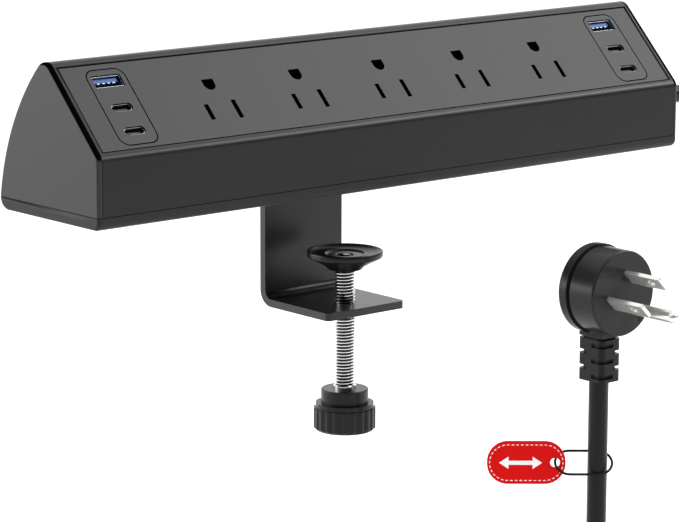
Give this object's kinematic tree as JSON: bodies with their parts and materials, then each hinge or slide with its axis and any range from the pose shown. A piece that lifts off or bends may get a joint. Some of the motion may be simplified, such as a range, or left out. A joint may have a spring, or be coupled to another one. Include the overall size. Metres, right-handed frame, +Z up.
{
  "type": "desk power strip",
  "caption": "Wedge-shaped desk power strip with an outlet row, USB ports, an under-desk screw clamp, and a coiled mains cord with a round low-profile plug.",
  "frame": {"origin": "middle of the strip's flat underside, which rests on the desk", "axes": "+X right along the strip, +Y to its back, +Z up"},
  "size_m": [0.3851, 0.1677, 0.2664],
  "materials": {
    "casing": "satin moulded plastic, mid grey-black",
    "cover": "fine-textured moulded plastic, black",
    "panel": "satin moulded plastic, mid grey-black",
    "port_insert": "satin moulded plastic, near black",
    "port_shell": "bright nickel-plated sheet steel",
    "port_shell_dark": "blackened drawn steel",
    "blue_tongue": "moulded plastic, bright blue",
    "black_tongue": "moulded plastic, black",
    "circuit_board": "glass-fibre board with green solder mask",
    "components": "potted and sleeved electronic parts",
    "insulator": "natural moulded plastic, off-white",
    "contact_metal": "stamped brass, bare",
    "black_wire": "soft vinyl insulation, black",
    "white_wire": "soft vinyl insulation, white",
    "green_wire": "soft vinyl insulation, green",
    "bracket_steel": "satin black powder coat on folded steel",
    "screw_steel": "bright zinc-plated steel",
    "fixing_steel": "zinc-plated steel",
    "pad_plastic": "glossy moulded plastic, black",
    "bush_steel": "turned steel, oiled",
    "knob_plastic": "satin moulded plastic, black",
    "gland_rubber": "soft moulded vinyl, black",
    "cord_jacket": "smooth extruded vinyl jacket, black",
    "strap": "woven nylon strap, black",
    "plug_plastic": "satin moulded vinyl, black",
    "blade_metal": "nickel-plated brass",
    "tag_fabric": "soft red tag with white stitching",
    "elastic": "thin black elastic"
  },
  "bodies": {
    "strip": {"main_shell": "casing", "bottom_cover": "cover", "case_screws": "fixing_steel", "left_end_cap": "casing", "right_end_cap": "casing", "face_panel": "panel", "contact_carrier": "insulator", "carrier_lid": "insulator", "line_strip": "contact_metal", "neutral_strip": "contact_metal", "earth_strip": "contact_metal", "line_wire": "black_wire", "neutral_wire": "white_wire", "earth_wire": "green_wire", "clamp_bracket": "bracket_steel", "bracket_screws": "fixing_steel", "bracket_nuts": "fixing_steel", "cord_gland": "gland_rubber", "cord_clamp": "insulator", "inner_sheath": "cord_jacket", "power_cord_drop": "cord_jacket", "power_cord_coil": "cord_jacket", "power_cord_rise": "cord_jacket", "cord_tie": "strap", "plug_body": "plug_plastic", "plug_strain_relief": "plug_plastic", "plug_cord_end": "cord_jacket", "line_blade": "blade_metal", "neutral_blade": "blade_metal", "ground_pin": "blade_metal", "length_tag": "tag_fabric", "tag_loop": "elastic", "usb_bezel_left": "port_insert", "usb_a_shell_left": "port_shell", "usb_a_tongue_left": "blue_tongue", "usb_c_shell_upper_left": "port_shell_dark", "usb_c_tongue_upper_left": "black_tongue", "usb_c_shell_lower_left": "port_shell_dark", "usb_c_tongue_lower_left": "black_tongue", "usb_board_left": "circuit_board", "usb_components_left": "components", "usb_bezel_right": "port_insert", "usb_a_shell_right": "port_shell", "usb_a_tongue_right": "blue_tongue", "usb_c_shell_upper_right": "port_shell_dark", "usb_c_tongue_upper_right": "black_tongue", "usb_c_shell_lower_right": "port_shell_dark", "usb_c_tongue_lower_right": "black_tongue", "usb_board_right": "circuit_board", "usb_components_right": "components"},
    "swivel": {"swivel_ball": "bush_steel"},
    "screw": {"clamp_screw": "screw_steel", "clamp_knob": "knob_plastic"},
    "pad": {"pressure_pad": "pad_plastic"}
  },
  "joints": [
    {"name": "clamp_travel", "type": "slide", "parent": "strip", "child": "swivel", "axis": [0, 0, 1], "range_m": [-0.0125, 0.0285]},
    {"name": "knob_spin", "type": "hinge", "parent": "swivel", "child": "screw", "pos_m": [0, 0.0068, -0.09], "axis": [0, 0, 1], "range_deg": [-3312, 7776]},
    {"name": "pad_tilt", "type": "hinge", "parent": "swivel", "child": "pad", "pos_m": [0, 0.0068, -0.0353], "axis": [1, 0, 0], "range_deg": [-5, 5]}
  ],
  "couplings": [
    {"joint": "clamp_travel", "follows": "knob_spin", "m_per_rad": 0.00019894}
  ]
}
